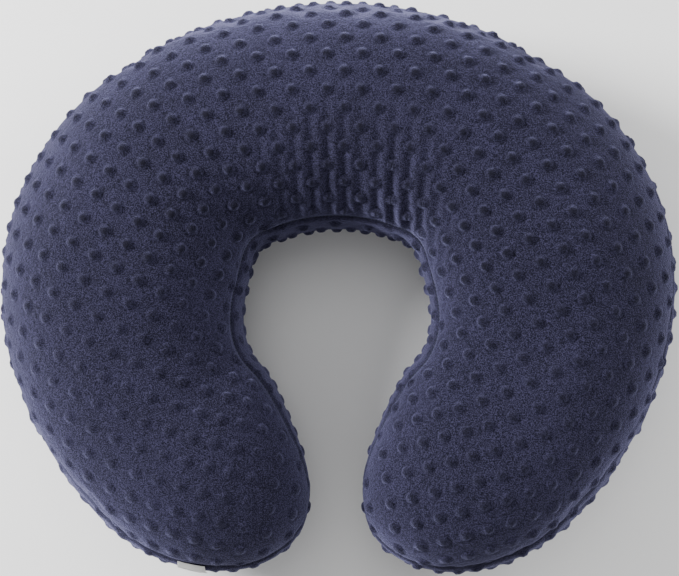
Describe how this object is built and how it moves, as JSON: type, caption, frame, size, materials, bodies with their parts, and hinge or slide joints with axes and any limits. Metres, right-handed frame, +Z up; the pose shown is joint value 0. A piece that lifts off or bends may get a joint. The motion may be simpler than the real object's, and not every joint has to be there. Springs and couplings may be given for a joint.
{
  "type": "nursing pillow",
  "caption": "Crescent-shaped stuffed pillow with a waist opening, in a removable zipped cover of raised-dot plush.",
  "frame": {"origin": "on the floor plane under the middle of the bounding box", "axes": "+X to the right along the width, +Y to the closed end of the crescent, +Z up"},
  "size_m": [0.5174, 0.4428, 0.1424],
  "materials": {
    "plush": "navy raised-dot plush with a short velvety pile",
    "thread": "navy spun polyester sewing thread",
    "zip_tape": "navy woven polyester tape",
    "zip_coil": "navy nylon coil",
    "zip_metal": "navy enamelled zinc",
    "casing": "white plain-woven cotton blend",
    "casing_thread": "white sewing thread",
    "fill": "white polyester fibre",
    "label": "white satin ribbon"
  },
  "bodies": {
    "pillow": {"fibre_fill": "fill", "casing_top_panel": "casing", "casing_bottom_panel": "casing", "casing_seam_thread": "casing_thread", "casing_closing_stitches": "casing_thread", "casing_label": "label", "cover_top_panel": "plush", "cover_bottom_panel": "plush", "cover_seam_thread": "thread", "cover_care_label": "label", "zipper_tape_upper": "zip_tape", "zipper_tape_lower": "zip_tape", "zipper_stitching_upper": "thread", "zipper_stitching_lower": "thread", "zipper_coil_upper": "zip_coil", "zipper_coil_lower": "zip_coil", "zipper_bottom_stop": "zip_metal", "zipper_top_stop_upper": "zip_metal", "zipper_top_stop_lower": "zip_metal"},
    "slider": {"zipper_slider": "zip_metal"},
    "pull": {"zipper_pull_tab": "zip_metal"}
  },
  "joints": [
    {"name": "slider_travel", "type": "hinge", "parent": "pillow", "child": "slider", "pos_m": [0, -0.08283, 0.066], "axis": [0, 0, 1], "range_deg": [0, 43.5], "deforming": ["zipper_coil_upper", "zipper_coil_lower"]},
    {"name": "pull_flip", "type": "hinge", "parent": "slider", "child": "pull", "pos_m": [0.10907, 0.20131, 0.066], "axis": [0, 0, 1], "range_deg": [0, 175]}
  ]
}
